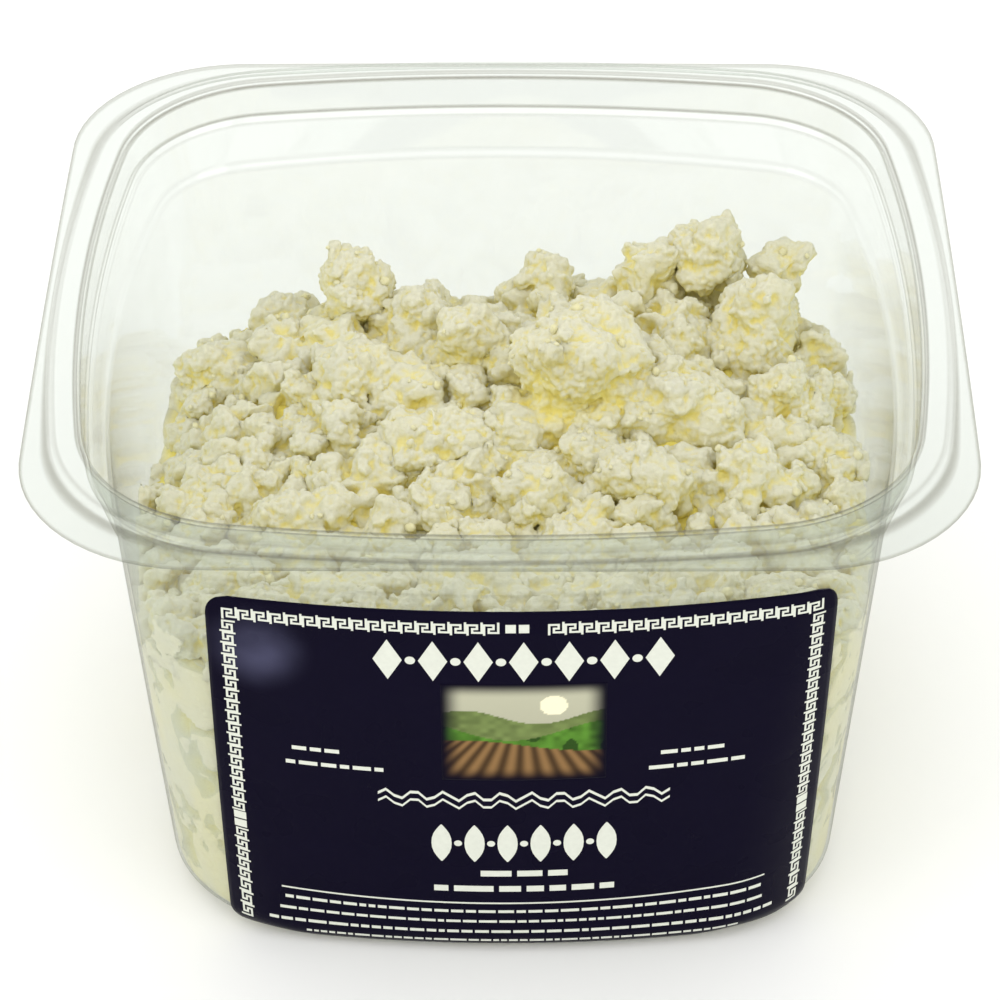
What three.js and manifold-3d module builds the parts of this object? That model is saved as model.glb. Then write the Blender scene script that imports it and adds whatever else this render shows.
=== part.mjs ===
import * as THREE from 'three';
import { mergeVertices } from 'three/addons/utils/BufferGeometryUtils.js';
import Module from 'manifold-3d';

const wasm = await Module();
wasm.setup();

// An open clear square tub with a wide flange, filled with crumbled white cheese, with a dark
// label on its front. Millimetres, +Z up, front towards -Y, the tub's base on z = 0.

// The sheet of the tub, as a section from the middle of the base to the edge of the flange.
// Each station is a rounded square: half is its half width at the middle of a side, bow the
// radius of its bowed side, corner the radius of its corner, z its height.
const SHEET = 0.6;
const BASE = { half: 49.3, bow: 207, corner: 30, z: SHEET / 2 };
const FOOT_LOW = { half: 51.2, bow: 209, corner: 28, z: 0.8 };
const FOOT_HIGH = { half: 52.6, bow: 210, corner: 25, z: 2.2 };
const WALL_FOOT = { half: 53.1, bow: 210, corner: 22.4, z: 4 };
const WALL_TOP = { half: 59.4, bow: 207, corner: 16, z: 72.4 };
const STEP_TOP = { half: 60, bow: 208, corner: 16.5, z: 73.6 };
const NECK = { half: 61, bow: 300, corner: 22, z: 79.4 };
const LEDGE = { half: 61.7, bow: 300, corner: 23, z: 80.6 };
const RIM_INSIDE = { half: 62.5, bow: 288, corner: 25, z: 85.5 };
const RIM_CREST = { half: 63.1, bow: 288, corner: 25.5, z: 86.2 };
const RIM_OUTSIDE = { half: 66.4, bow: 290, corner: 28.8, z: 86 };
const RIM_FOOT = { half: 67.2, bow: 300, corner: 29, z: 84.7 };
const FLANGE_EDGE = { half: 68.6, bow: 4000, corner: 26.2, z: 84.4 };
const WALL_MIDDLE = mix(WALL_FOOT, WALL_TOP, 0.5);
const SECTION = [
  BASE, FOOT_LOW, FOOT_HIGH, WALL_FOOT, WALL_MIDDLE, WALL_TOP, STEP_TOP,
  NECK, LEDGE, RIM_INSIDE, RIM_CREST, RIM_OUTSIDE, RIM_FOOT, FLANGE_EDGE,
];
const SIDE_STEPS = 5;
const CORNER_STEPS = 7;
const RING_POINTS = 4 * (SIDE_STEPS + CORNER_STEPS);

// The label: a sheet wrapped round the front wall and down over the foot, off centre to the
// right. Distances along it are measured round the wall from the middle of the front.
const LABEL_LEFT = -42.2;
const LABEL_RIGHT = 49.2;
const LABEL_TOP = 70.2;
const LABEL_CORNER = 3.4;
const LABEL_THICKNESS = 0.25;
const LABEL_GAP = 0.2;
const LABEL_ROWS = [0, 0.6, 3.4, 18, 32, 49, 66.2, 68.2, 69];
// Its columns are wide on the flat of the wall and narrow where it turns into the corners.
const LABEL_FLAT = { from: -31, to: 31, columns: 5 };
const LABEL_TURN_COLUMNS = { left: 3, right: 5 };

// The heap: a core that fills the tub up to its level, with the lumps that show fused on.
const HEAP_GAP = 0.3;
const HEAP_LEVEL = 47;
const HEAP_SINK = 1.5;
const HEAP_RINGS = [0.94, 0.8, 0.66, 0.52, 0.36, 0.18];
const HEAP_BUMP = 2.2;
const CAVITY_TOP = 78;

// Slopes of the heap: it rises to the front and to two mounds at the back, and falls off to the
// left wall and the back wall. rise is in mm, from and to are the distances it takes.
const FRONT_SLOPE = { rise: 10, from: 15, to: 50 };
const LEFT_SLOPE = { rise: -4, from: 30, to: 56 };
const BACK_SLOPE = { rise: -4, from: 44, to: 57 };
const MOUNDS = [
  { x: 22, y: 28, rise: 9, spread: 22 },
  { x: -24, y: 34, rise: 5, spread: 15 },
];

// The lumps that show, by place on the heap, breadth, height, and how far the middle stands
// above the heap's level, from the back of the tub to its front.
const LUMPS = [
  { x: 34, y: 46, broad: 15, tall: 13, above: 10 },
  { x: 46, y: 46, broad: 10, tall: 11, above: 9 },
  { x: 24, y: 45, broad: 13, tall: 13, above: 5 },
  { x: 7, y: 49, broad: 11, tall: 9, above: 5 },
  { x: -25, y: 43, broad: 15, tall: 15, above: 5 },
  { x: -15, y: 39, broad: 9, tall: 10, above: 3 },
  { x: 28, y: 35, broad: 11, tall: 12, above: 0 },
  { x: 39, y: 31, broad: 19, tall: 18, above: 5 },
  { x: -46, y: 32, broad: 14, tall: 13, above: 2 },
  { x: -36, y: 33, broad: 8, tall: 8, above: 1 },
  { x: -4, y: 30, broad: 16, tall: 17, above: 1 },
  { x: 50, y: 29, broad: 8, tall: 12, above: 1 },
  { x: -38, y: 25, broad: 8, tall: 8, above: 1 },
  { x: -23, y: 23, broad: 16, tall: 11, above: 2 },
  { x: -13, y: 21, broad: 9, tall: 10, above: 1 },
  { x: 14, y: 16, broad: 25, tall: 23, above: 5 },
  { x: -44, y: 17, broad: 9, tall: 9, above: 1 },
  { x: 44, y: 19, broad: 13, tall: 12, above: 2 },
  { x: 30, y: 13, broad: 17, tall: 14, above: 1 },
  { x: -27, y: 13, broad: 10, tall: 10, above: 1 },
  { x: -10, y: 9, broad: 20, tall: 11, above: 2 },
  { x: -47, y: 7, broad: 13, tall: 13, above: 0 },
  { x: -20, y: 3, broad: 11, tall: 10, above: 0 },
  { x: 48, y: 7, broad: 10, tall: 9, above: 0 },
  { x: 38, y: 0, broad: 13, tall: 10, above: 1 },
  { x: 21, y: -4, broad: 18, tall: 15, above: 1 },
  { x: 5, y: -5, broad: 14, tall: 12, above: 0 },
  { x: -9, y: -5, broad: 15, tall: 10, above: 0 },
  { x: 43, y: -13, broad: 16, tall: 11, above: 0 },
  { x: -33, y: -6, broad: 13, tall: 10, above: 0 },
  { x: -21, y: -16, broad: 14, tall: 11, above: 0 },
  { x: 12, y: -22, broad: 15, tall: 12, above: 0 },
  { x: -40, y: -24, broad: 14, tall: 11, above: 0 },
  { x: 30, y: -27, broad: 16, tall: 12, above: 0 },
  { x: -5, y: -33, broad: 17, tall: 12, above: 0 },
  { x: -26, y: -38, broad: 15, tall: 11, above: 0 },
  { x: 18, y: -42, broad: 13, tall: 11, above: 0 },
];
const LUMP_DETAIL = [10.5, 16.5];
const LUMP_ROUGHNESS = 0.13;

// Smaller crumbs sit between the lumps, on a staggered grid.
const CRUMB_PITCH = 9.5;
const CRUMB_SIZES = [6.5, 10];
const CRUMB_SHIFT = 2;
const CRUMB_REACH = 52;
const CRUMB_CLEAR = 0.56;

const CLEAR_PLASTIC = new THREE.MeshStandardMaterial({ color: 0xe6efe8, roughness: 0.08, metalness: 0 });
CLEAR_PLASTIC.transparent = true;
CLEAR_PLASTIC.opacity = 0.3;
const CHEESE = new THREE.MeshStandardMaterial({ color: 0xe9e5cb, roughness: 0.7, metalness: 0 });
const NAVY_PAPER = new THREE.MeshStandardMaterial({ color: 0x1b1a2b, roughness: 0.3, metalness: 0 });

// A repeatable random draw between 0 and 1.
function seededRandom(seed) {
  let state = seed;
  return () => {
    state = (state + 0x6d2b79f5) | 0;
    let mixed = Math.imul(state ^ (state >>> 15), 1 | state);
    mixed = (mixed + Math.imul(mixed ^ (mixed >>> 7), 61 | mixed)) ^ mixed;
    return ((mixed ^ (mixed >>> 14)) >>> 0) / 4294967296;
  };
}

function smoothStep(from, to, value) {
  const share = THREE.MathUtils.clamp((value - from) / (to - from), 0, 1);
  return share * share * (3 - 2 * share);
}

// A station between two others.
function mix(below, above, share) {
  const mixed = {};
  for (const key of ['half', 'bow', 'corner', 'z']) {
    mixed[key] = THREE.MathUtils.lerp(below[key], above[key], share);
  }
  return mixed;
}

// A station of the section moved square to the sheet, outwards where the distance is positive.
function movedStation(index, distance) {
  const station = SECTION[index];
  const before = SECTION[Math.max(index - 1, 0)];
  const after = SECTION[Math.min(index + 1, SECTION.length - 1)];
  const along = new THREE.Vector2(after.half - before.half, after.z - before.z).normalize();
  if (station === BASE) along.set(1, 0);
  return {
    half: station.half + along.y * distance,
    bow: station.bow + along.y * distance,
    corner: station.corner + along.y * distance,
    z: station.z - along.x * distance,
  };
}

// The same for any height of the foot or the wall.
function wallAt(z, distance) {
  let upper = 1;
  while (SECTION[upper].z < z) upper += 1;
  const share = (z - SECTION[upper - 1].z) / (SECTION[upper].z - SECTION[upper - 1].z);
  return mix(movedStation(upper - 1, distance), movedStation(upper, distance), share);
}

// Where the arcs of an outline meet: the corner's centre, and half the angle of the side's arc.
function arcsOf({ half, bow, corner }) {
  const reach = bow - half;
  const squares = reach * reach - (bow - corner) ** 2;
  const centre = (-reach + Math.sqrt(reach * reach - 2 * squares)) / 2;
  return { reach, centre, sideAngle: Math.atan2(centre, centre + reach) };
}

// Points round an outline, counter-clockwise from the right side's lower end.
function ringOf(station) {
  const { reach, centre, sideAngle } = arcsOf(station);
  const ring = [];
  for (let quarter = 0; quarter < 4; quarter += 1) {
    const turn = quarter * Math.PI / 2;
    for (let step = 0; step < SIDE_STEPS + CORNER_STEPS; step += 1) {
      const point = new THREE.Vector2();
      if (step < SIDE_STEPS) {
        const angle = -sideAngle + 2 * sideAngle * step / SIDE_STEPS;
        point.set(station.bow * Math.cos(angle) - reach, station.bow * Math.sin(angle));
      } else {
        const share = (step - SIDE_STEPS) / CORNER_STEPS;
        const angle = sideAngle + (Math.PI / 2 - 2 * sideAngle) * share;
        point.set(centre + station.corner * Math.cos(angle), centre + station.corner * Math.sin(angle));
      }
      point.rotateAround(new THREE.Vector2(), turn);
      ring.push(new THREE.Vector3(point.x, point.y, station.z));
    }
  }
  return ring;
}

// A closed solid through rings of points, from a point at its start to a point at its end.
function loft(start, rings, end) {
  const points = [start, ...rings.flat(), end];
  const last = points.length - 1;
  const faces = [];
  for (let k = 0; k < RING_POINTS; k += 1) {
    const next = (k + 1) % RING_POINTS;
    faces.push(0, 1 + next, 1 + k);
    for (let row = 0; row < rings.length - 1; row += 1) {
      const low = 1 + row * RING_POINTS;
      const high = low + RING_POINTS;
      faces.push(low + k, low + next, high + next);
      faces.push(low + k, high + next, high + k);
    }
    const top = 1 + (rings.length - 1) * RING_POINTS;
    faces.push(last, top + k, top + next);
  }
  const geometry = new THREE.BufferGeometry().setFromPoints(points);
  geometry.setIndex(faces);
  return geometry;
}

// The tub: the section moved out and in by half the sheet's thickness.
function tubGeometry() {
  const outside = SECTION.map((_, index) => ringOf(movedStation(index, SHEET / 2)));
  const inside = SECTION.map((_, index) => ringOf(movedStation(index, -SHEET / 2)));
  const under = new THREE.Vector3(0, 0, 0);
  const floor = new THREE.Vector3(0, 0, SHEET);
  return loft(under, [...outside, ...inside.reverse()], floor);
}

// Evenly spaced numbers from one to another, both included.
function steps(from, to, count) {
  return Array.from({ length: count + 1 }, (_, index) => THREE.MathUtils.lerp(from, to, index / count));
}

// A point on the front wall, distance along from the middle of the front, lift off the sheet.
function frontPoint(distance, height, lift) {
  const { half, bow, corner, z } = wallAt(height, SHEET / 2 + lift);
  const { reach, centre, sideAngle } = arcsOf({ half, bow, corner });
  const side = Math.sign(distance);
  const onCorner = Math.abs(distance) - bow * sideAngle;
  if (onCorner <= 0) {
    const angle = Math.abs(distance) / bow;
    return new THREE.Vector3(side * bow * Math.sin(angle), reach - bow * Math.cos(angle), z);
  }
  const angle = sideAngle + onCorner / corner;
  const x = side * (centre + corner * Math.sin(angle));
  return new THREE.Vector3(x, -centre - corner * Math.cos(angle), z);
}

// The label: a thin closed sheet with round corners, its inner face just off the wall.
function labelGeometry() {
  const points = [];
  const places = [
    ...steps(LABEL_LEFT, LABEL_FLAT.from, LABEL_TURN_COLUMNS.left),
    ...steps(LABEL_FLAT.from, LABEL_FLAT.to, LABEL_FLAT.columns).slice(1),
    ...steps(LABEL_FLAT.to, LABEL_RIGHT, LABEL_TURN_COLUMNS.right).slice(1),
  ];
  const height = LABEL_ROWS[LABEL_ROWS.length - 1];
  for (const lift of [LABEL_GAP + LABEL_THICKNESS, LABEL_GAP]) {
    for (const down of LABEL_ROWS) {
      const toEnd = Math.min(down, height - down, LABEL_CORNER);
      const inset = LABEL_CORNER - Math.sqrt(LABEL_CORNER ** 2 - (LABEL_CORNER - toEnd) ** 2);
      const left = LABEL_LEFT + inset;
      const right = LABEL_RIGHT - inset;
      for (const place of places) {
        const distance = THREE.MathUtils.mapLinear(place, LABEL_LEFT, LABEL_RIGHT, left, right);
        points.push(frontPoint(distance, LABEL_TOP - down, lift));
      }
    }
  }
  const width = places.length;
  const layer = LABEL_ROWS.length * width;
  const faces = [];
  const quad = (a, b, c, d) => faces.push(a, b, c, a, c, d);
  for (let row = 0; row < LABEL_ROWS.length - 1; row += 1) {
    for (let column = 0; column < width - 1; column += 1) {
      const corner = row * width + column;
      quad(corner, corner + width, corner + width + 1, corner + 1);
      quad(layer + corner, layer + corner + 1, layer + corner + width + 1, layer + corner + width);
    }
    const left = row * width;
    const right = left + width - 1;
    quad(left, layer + left, layer + left + width, left + width);
    quad(right, right + width, layer + right + width, layer + right);
  }
  const bottom = layer - width;
  for (let column = 0; column < width - 1; column += 1) {
    quad(column, column + 1, layer + column + 1, layer + column);
    quad(bottom + column, layer + bottom + column, layer + bottom + column + 1, bottom + column + 1);
  }
  const geometry = new THREE.BufferGeometry().setFromPoints(points);
  geometry.setIndex(faces);
  return geometry;
}

// Height of the heap's surface over a point of the tub.
function heapLevel(x, y) {
  let level = HEAP_LEVEL;
  level += FRONT_SLOPE.rise * smoothStep(FRONT_SLOPE.from, FRONT_SLOPE.to, -y);
  level += LEFT_SLOPE.rise * smoothStep(LEFT_SLOPE.from, LEFT_SLOPE.to, -x);
  level += BACK_SLOPE.rise * smoothStep(BACK_SLOPE.from, BACK_SLOPE.to, y);
  for (const mound of MOUNDS) {
    const away = (x - mound.x) ** 2 + (y - mound.y) ** 2;
    level += mound.rise * Math.exp(-away / (2 * mound.spread ** 2));
  }
  return level;
}

// A ring on the inside of the tub at a height, kept clear of the sheet.
function insideRing(height) {
  return ringOf(wallAt(height, -SHEET / 2 - HEAP_GAP));
}

// A solid that fills the tub from its floor up through the given rings.
function fillingSolid(rings, middle) {
  const foot = SECTION.slice(0, SECTION.indexOf(WALL_MIDDLE));
  const footRings = foot.map((_, index) => ringOf(movedStation(index, -SHEET / 2 - HEAP_GAP)));
  return solidOf(loft(new THREE.Vector3(0, 0, SHEET + HEAP_GAP), [...footRings, ...rings], middle));
}

// The space that the heap may fill.
function cavitySolid() {
  const rings = [WALL_TOP.z, STEP_TOP.z, CAVITY_TOP].map(insideRing);
  return fillingSolid(rings, new THREE.Vector3(0, 0, rings[2][0].z));
}

// The heap without its lumps, a little below the heap's level.
function coreSolid(random) {
  const surfacePoint = (x, y) => {
    const bump = HEAP_BUMP * (random() * 2 - 1);
    return new THREE.Vector3(x, y, heapLevel(x, y) - HEAP_SINK + bump);
  };
  const contact = insideRing(HEAP_LEVEL).map(({ x, y }, index) => {
    return insideRing(heapLevel(x, y) - HEAP_SINK)[index];
  });
  const inner = HEAP_RINGS.map((share) => contact.map(({ x, y }) => surfacePoint(x * share, y * share)));
  return fillingSolid([contact, ...inner], surfacePoint(0, 0));
}

// One knobbly lump, with its own turn and its own bumps.
function lumpSolid({ x, y, z, broad, tall }, random) {
  const detail = LUMP_DETAIL.filter((from) => broad >= from).length;
  const ball = new THREE.IcosahedronGeometry(1, detail);
  ball.deleteAttribute('normal');
  ball.deleteAttribute('uv');
  const merged = mergeVertices(ball);
  const waves = [];
  for (let wave = 0; wave < 5; wave += 1) {
    const angle = random() * Math.PI * 2;
    const way = new THREE.Vector3(Math.cos(angle), Math.sin(angle), random() * 2 - 1);
    way.setLength(2 + 4 * random());
    waves.push({ way, phase: random() * Math.PI * 2 });
  }
  const point = new THREE.Vector3();
  const places = merged.attributes.position;
  for (let index = 0; index < places.count; index += 1) {
    point.fromBufferAttribute(places, index);
    let bump = 0;
    for (const { way, phase } of waves) bump += Math.sin(point.dot(way) + phase);
    point.multiplyScalar(1 + LUMP_ROUGHNESS * bump / 2);
    places.setXYZ(index, point.x, point.y, point.z);
  }
  const place = new THREE.Matrix4().makeRotationZ(random() * Math.PI * 2);
  place.premultiply(new THREE.Matrix4().makeScale(broad / 2, broad / 2, tall / 2));
  place.premultiply(new THREE.Matrix4().makeTranslation(x, y, z));
  merged.applyMatrix4(place);
  return solidOf(merged);
}

// Small crumbs between the lumps, as lump settings.
function crumbSettings(random) {
  const crumbs = [];
  const rowPitch = CRUMB_PITCH * Math.sqrt(3) / 2;
  const rows = Math.floor(CRUMB_REACH / rowPitch);
  for (let row = -rows; row <= rows; row += 1) {
    const stagger = (row % 2) * CRUMB_PITCH / 2;
    for (let across = -CRUMB_REACH; across <= CRUMB_REACH; across += CRUMB_PITCH) {
      const x = across + stagger + (random() * 2 - 1) * CRUMB_SHIFT;
      const y = row * rowPitch + (random() * 2 - 1) * CRUMB_SHIFT;
      const broad = THREE.MathUtils.lerp(CRUMB_SIZES[0], CRUMB_SIZES[1], random());
      const near = LUMPS.some((lump) => Math.hypot(lump.x - x, lump.y - y) < lump.broad * CRUMB_CLEAR);
      if (!near) crumbs.push({ x, y, broad, tall: broad, above: 0 });
    }
  }
  return crumbs;
}

function solidOf(geometry) {
  return new wasm.Manifold(new wasm.Mesh({
    numProp: 3,
    vertProperties: new Float32Array(geometry.attributes.position.array),
    triVerts: new Uint32Array(geometry.index.array),
  }));
}

// The largest closed shell of a solid: a loose scrap and a sealed hollow are left behind.
function largestShell(solid) {
  const mesh = solid.getMesh();
  const corners = mesh.triVerts;
  const parent = Array.from({ length: mesh.vertProperties.length / 3 }, (_, index) => index);
  const rootOf = (index) => {
    let root = index;
    while (parent[root] !== root) {
      parent[root] = parent[parent[root]];
      root = parent[root];
    }
    return root;
  };
  for (let t = 0; t < corners.length; t += 3) {
    parent[rootOf(corners[t])] = rootOf(corners[t + 1]);
    parent[rootOf(corners[t + 1])] = rootOf(corners[t + 2]);
  }
  const shells = new Map();
  for (let t = 0; t < corners.length; t += 3) {
    const root = rootOf(corners[t]);
    if (!shells.has(root)) shells.set(root, []);
    shells.get(root).push(corners[t], corners[t + 1], corners[t + 2]);
  }
  const faces = [...shells.values()].sort((a, b) => b.length - a.length)[0];
  const geometry = new THREE.BufferGeometry();
  geometry.setAttribute('position', new THREE.BufferAttribute(mesh.vertProperties, 3));
  geometry.setIndex(faces);
  return geometry;
}

function heapGeometry() {
  const random = seededRandom(20);
  let heap = coreSolid(random);
  for (const setting of [...LUMPS, ...crumbSettings(random)]) {
    const z = heapLevel(setting.x, setting.y) + setting.above;
    heap = heap.add(lumpSolid({ ...setting, z }, random));
  }
  return largestShell(heap.intersect(cavitySolid()));
}

function piece(name, geometry, material) {
  const mesh = new THREE.Mesh(geometry, material);
  mesh.name = name;
  return mesh;
}

const group = new THREE.Group();
group.add(piece('tub', tubGeometry(), CLEAR_PLASTIC));
group.add(piece('crumbled_cheese', heapGeometry(), CHEESE));
group.add(piece('label', labelGeometry(), NAVY_PAPER));

export default group;
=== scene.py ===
import math
import random

import bmesh
import bpy
import numpy as np
from mathutils import Matrix, Vector
from mathutils.bvhtree import BVHTree
from mathutils.kdtree import KDTree


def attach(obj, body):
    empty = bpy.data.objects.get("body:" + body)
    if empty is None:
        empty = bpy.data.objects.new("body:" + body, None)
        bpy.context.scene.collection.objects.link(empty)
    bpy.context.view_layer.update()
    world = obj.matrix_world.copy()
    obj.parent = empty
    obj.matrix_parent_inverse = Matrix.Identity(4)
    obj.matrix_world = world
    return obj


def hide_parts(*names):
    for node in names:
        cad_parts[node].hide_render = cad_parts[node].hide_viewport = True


bl_info = {
    "name": "Tub of crumbled cheese",
    "version": (1, 0, 0),
    "blender": (4, 5, 0),
    "location": "View3D > Sidebar > Cheese tub",
    "description": "A clear thermoformed tub, its crumbled cheese and its paper label",
    "category": "Object",
}

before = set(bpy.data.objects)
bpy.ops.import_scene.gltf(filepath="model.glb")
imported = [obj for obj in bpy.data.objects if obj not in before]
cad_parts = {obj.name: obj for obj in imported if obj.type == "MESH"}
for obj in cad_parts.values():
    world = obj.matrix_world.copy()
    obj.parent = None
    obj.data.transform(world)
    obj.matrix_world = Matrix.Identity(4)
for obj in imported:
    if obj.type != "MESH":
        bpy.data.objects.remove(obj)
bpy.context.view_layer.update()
MM = 0.001

# The tub's sheet as a section from the middle of the base to the edge of the flange, in
# millimetres: half width at the middle of a side, radius of the bowed side, radius of the
# corner, height, how far the bend reaches, and how dark a line of painted shade it draws in
# the clear sheet, in place of the shade that the sheet's refraction shows at the bend.
STATIONS = (
    (49.3, 207, 30.0, 0.3, 1.6, 0.15),
    (51.2, 209, 28.0, 0.8, 1.0, 0.1),
    (52.6, 210, 25.0, 2.2, 1.0, 0.1),
    (53.1, 210, 22.4, 4.0, 1.2, 0.1),
    (59.4, 207, 16.0, 72.4, 0.5, 0.05),
    (60.0, 208, 16.5, 73.6, 0.5, 0.06),
    (61.0, 300, 22.0, 79.4, 0.3, 0.12),
    (61.7, 300, 23.0, 80.6, 0.35, 0.4),
    (62.5, 288, 25.0, 85.5, 0.4, 0.5),
    (63.1, 288, 25.5, 86.2, 0.4, 0.4),
    (66.4, 290, 28.8, 86.0, 0.5, 0.15),
    (67.2, 300, 29.0, 84.7, 0.4, 0.35),
    (68.3, 4000, 25.9, 84.4, 0.0, 0.35),
)
WALL_FOOT = 3
WALL_TOP = 4

# Slopes and mounds of the heap, in millimetres.
FRONT_SLOPE = {"rise": 10, "from": 15, "to": 50}
LEFT_SLOPE = {"rise": -4, "from": 30, "to": 56}
BACK_SLOPE = {"rise": -4, "from": 44, "to": 57}
MOUNDS = ((22, 28, 9, 22), (-24, 34, 5, 15))

# The lumps that show, from the back to the front, in millimetres: place, breadth, height, and
# how far the middle stands above the heap's level.
LUMPS = (
    (34, 46, 15, 13, 10), (46, 46, 10, 11, 9), (24, 45, 13, 13, 5), (7, 49, 11, 9, 5),
    (-25, 43, 15, 15, 5), (-15, 39, 9, 10, 3), (28, 35, 11, 12, 0), (39, 31, 19, 18, 5),
    (-46, 32, 14, 13, 2), (-36, 33, 8, 8, 1), (-4, 30, 16, 17, 1), (50, 29, 8, 12, 1),
    (-38, 25, 8, 8, 1), (-23, 23, 16, 11, 2), (-13, 21, 9, 10, 1), (14, 16, 25, 23, 5),
    (-44, 17, 9, 9, 1), (44, 19, 13, 12, 2), (30, 13, 17, 14, 1), (-27, 13, 10, 10, 1),
    (-10, 9, 20, 11, 2), (-47, 7, 13, 13, 0), (-20, 3, 11, 10, 0), (48, 7, 10, 9, 0),
    (38, 0, 13, 10, 1), (21, -4, 18, 15, 1), (5, -5, 14, 12, 0), (-9, -5, 15, 10, 0),
    (43, -13, 16, 11, 0), (-33, -6, 13, 10, 0), (-21, -16, 14, 11, 0), (12, -22, 15, 12, 0),
    (-40, -24, 14, 11, 0), (30, -27, 16, 12, 0), (-5, -33, 17, 12, 0), (-26, -38, 15, 11, 0),
    (18, -42, 13, 11, 0), (3, 10, 13, 11, 0), (13, 4, 12, 11, 0),
)
# The heap's lumps are fused in bands from the back to the front, each a piece of its own.
BANDS = (
    ("lumps_1", 40, 70), ("lumps_2", 24, 40), ("lumps_3", 8, 24), ("lumps_4", -8, 8),
    ("lumps_5", -24, -8), ("lumps_6", -40, -24), ("lumps_7", -70, -40),
)

# Lines of bars on the label, in millimetres, all with the depth below its top: beside the
# picture with both ends, in the middle with reach and height, at the foot with inset and height.
SIDE_PRINT = ((-30.5, -23.5, 28.4), (-31.5, -16, 31.4), (23.5, 33, 28.4), (21.8, 36, 31.4))
MIDDLE_PRINT = ((6.5, 52.2, 1.2), (13.5, 55.5, 1.2))
FOOT_PRINT = ((9.5, 60.8, 0.55), (8.6, 63, 0.5), (6.8, 65.2, 0.55), (12.5, 67.3, 0.45))

# One unit of the key border, in cells, from its top row to its bottom row.
KEY_UNIT = (
    "......#",
    "#####.#",
    "#...#.#",
    "#.###.#",
    "#.#...#",
    "#.#####",
    "#......",
)


def linear(code):
    """The linear colour of an sRGB hex value."""
    shares = [int(code[index:index + 2], 16) / 255 for index in (0, 2, 4)]
    return [s / 12.92 if s <= 0.04045 else ((s + 0.055) / 1.055) ** 2.4 for s in shares]


def colour_property(name, description, code):
    return bpy.props.FloatVectorProperty(
        name=name, description=description, default=linear(code), size=3, min=0, max=1, subtype="COLOR"
    )


def length_property(name, description, default):
    return bpy.props.FloatProperty(name=name, description=description, default=default, unit="LENGTH")


class TubSettings(bpy.types.PropertyGroup):
    sheet: length_property("Sheet", "Thickness of the plastic sheet", 0.6 * MM)
    side_steps: bpy.props.IntProperty(name="Side steps", description="Faces along one side", default=22)
    corner_steps: bpy.props.IntProperty(name="Corner steps", description="Faces of a corner", default=22)
    tint: colour_property("Tint", "Colour of light that passes one face", "F5F7F5")
    # Painted shade: the edge colour darkens the sheet along its bends in place of their refraction, and
    # where the sheet is seen edge on, for its longer path through the plastic.
    edge: colour_property("Edge", "Colour of light along the sheet's bends and edges", "8E8A78")


class CheeseSettings(bpy.types.PropertyGroup):
    level: length_property("Level", "Height of the heap away from its slopes", 47 * MM)
    sink: length_property("Sink", "How far the core lies below the heap's level", 1.6 * MM)
    pressed: length_property("Pressed", "How far the cheese reaches into the wall", 0.12 * MM)
    voxel: length_property("Voxel", "Size of the cells that fuse the lumps", 0.39 * MM)
    curd: length_property("Curd grain", "Breadth of the large grains of curd", 1.8 * MM)
    grit: length_property("Fine grain", "Breadth of the small grains of curd", 0.95 * MM)
    cream: colour_property("Cream", "Colour of the cheese in the open", "CECDBC")
    # Painted shade: the crevice colour goes where the curd lies deep, between lumps and grains or facing
    # down, lightened and yellowed in place of the light its translucency carries into shade.
    shade: colour_property("Crevice", "Colour of the cheese deep between its grains", "F0DE4C")


class LabelSettings(bpy.types.PropertyGroup):
    left: length_property("Left end", "Distance round the wall from the middle of the front", -42.2 * MM)
    right: length_property("Right end", "Distance round the wall from the middle of the front", 49.2 * MM)
    top: length_property("Top", "Height of the upper edge", 70.2 * MM)
    height: length_property("Height", "Height of the label", 69 * MM)
    corner: length_property("Corner", "Radius of the label's corners", 3.4 * MM)
    thickness: length_property("Thickness", "Thickness of the paper", 0.25 * MM)
    gap: length_property("Gap", "Room between the paper and the wall", 0.2 * MM)
    ink: length_property("Ink", "Thickness of the printed ink", 0.03 * MM)
    navy: colour_property("Navy", "Colour of the label", "080518")
    pale: colour_property("Pale ink", "Colour of the ornaments and bars", "DCDFD2")
    # Painted reflection: a pale bluish patch of a softbox mirrored in the varnish, laid on as colour.
    painted_reflection: colour_property("Painted reflection", "Colour of the scuffed varnish", "46465E")


class StageSettings(bpy.types.PropertyGroup):
    floor: length_property("Floor", "Breadth of the floor", 6.0)
    floor_colour: colour_property("Floor colour", "Colour of the floor", "F6F6F4")
    aim: length_property("Aim height", "Height that the camera looks at", 46.16 * MM)
    aim_left: length_property("Aim side", "How far to the left of the middle the camera looks", 0.418 * MM)
    distance: length_property("Distance", "How far the camera stands off", 644.5 * MM)
    elevation: bpy.props.FloatProperty(
        name="Elevation", description="The camera's angle above the horizon",
        default=math.radians(36.27), unit="ROTATION",
    )
    azimuth: bpy.props.FloatProperty(
        name="Azimuth", description="The camera's angle round the tub from its front",
        default=math.radians(0.637), unit="ROTATION",
    )
    roll: bpy.props.FloatProperty(
        name="Roll", description="The camera's tilt to the side",
        default=math.radians(-0.308), unit="ROTATION",
    )
    lens: bpy.props.FloatProperty(
        name="Lens", description="Focal length on a sensor 36 mm wide", default=148.73, unit="CAMERA"
    )


def smooth_step(start, end, value):
    share = np.clip((np.asarray(value, float) - start) / (end - start), 0, 1)
    return share * share * (3 - 2 * share)


def lattice_random(cell, salt):
    """A repeatable number from 0 to 1 for each cell of a lattice."""
    with np.errstate(over="ignore"):
        x, y, z = (cell[..., axis].astype(np.int64).astype(np.uint32) for axis in range(3))
        mixed = x * np.uint32(374761393) + y * np.uint32(668265263) + z * np.uint32(2246822519)
        mixed = mixed + np.uint32(salt * 974634777 % 2 ** 32)
        mixed = (mixed ^ (mixed >> np.uint32(13))) * np.uint32(1274126177)
        mixed = (mixed ^ (mixed >> np.uint32(15))) * np.uint32(2654435761)
        mixed = mixed ^ (mixed >> np.uint32(16))
    return mixed / 2.0 ** 32


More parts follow.
